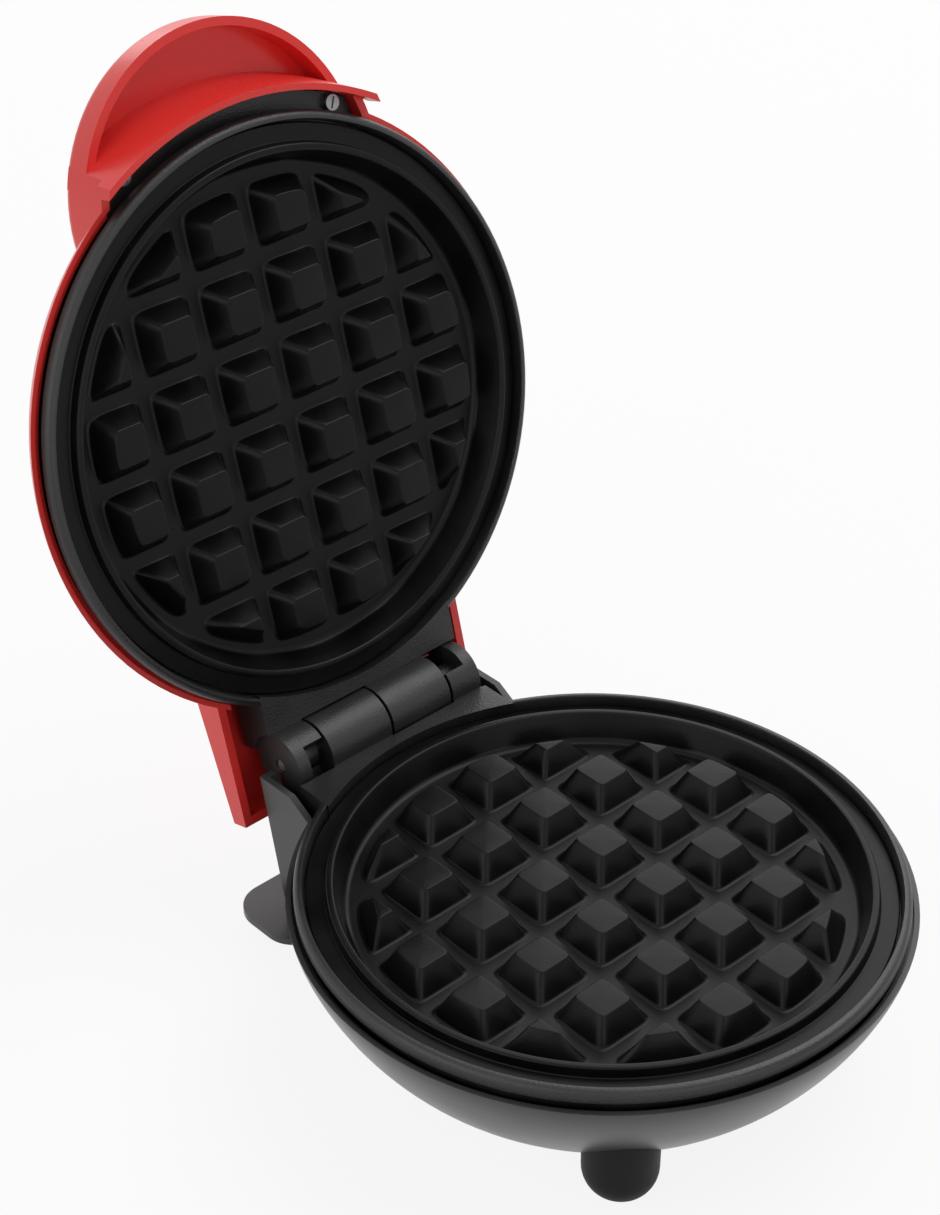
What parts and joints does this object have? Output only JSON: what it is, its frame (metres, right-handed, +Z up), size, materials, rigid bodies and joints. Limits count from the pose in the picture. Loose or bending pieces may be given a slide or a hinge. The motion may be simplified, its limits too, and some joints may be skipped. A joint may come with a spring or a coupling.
{
  "type": "round waffle maker",
  "caption": "Small round waffle maker with a red lid hinged at the back, black grid plates, a half-moon handle and a grey footed base, shown open.",
  "frame": {"origin": "on the table under the middle of the object's box with the lid open", "axes": "+X to the user's right, +Y to the hinge at the back, +Z up"},
  "size_m": [0.1244, 0.1916, 0.179],
  "materials": {
    "shell_grey": "moulded, soft gloss",
    "bezel_black": "fine spark-eroded texture",
    "plate_coating": "cast, black non-stick coating, semi-gloss",
    "rubber_black": "matt",
    "bright_steel": "plated",
    "heater_sheath": "heat-stained",
    "sheet_metal": "rolled sheet",
    "ceramic": "steatite",
    "wire_sleeve": "braided glass-fibre sleeve",
    "lid_red": "moulded, high gloss",
    "lens": "clear",
    "board": "printed board"
  },
  "bodies": {
    "base": {"base_shell": "shell_grey", "front_feet": "rubber_black", "rear_pads": "rubber_black", "lower_bezel": "bezel_black", "lower_bezel_screws": "bright_steel", "lower_plate": "plate_coating", "lower_heater": "heater_sheath", "lower_heater_clamp": "sheet_metal", "lower_plate_screws": "bright_steel", "lower_heat_shield": "sheet_metal", "thermostat": "ceramic", "thermal_fuse": "ceramic", "terminal_block": "ceramic", "base_wiring": "wire_sleeve", "cord_gland": "rubber_black", "hinge_pin": "bright_steel"},
    "lid": {"lid_shell": "lid_red", "upper_bezel": "bezel_black", "upper_bezel_screws": "bright_steel", "upper_plate": "plate_coating", "upper_heater": "heater_sheath", "upper_heater_clamp": "sheet_metal", "upper_plate_screws": "bright_steel", "upper_heat_shield": "sheet_metal", "indicator_lens": "lens", "indicator_lamp": "board", "lid_wiring": "wire_sleeve"}
  },
  "joints": [
    {"name": "lid_hinge", "type": "hinge", "parent": "base", "child": "lid", "pos_m": [0, 0.03512, 0.038], "axis": [1, 0, 0], "range_deg": [0, 105]}
  ]
}
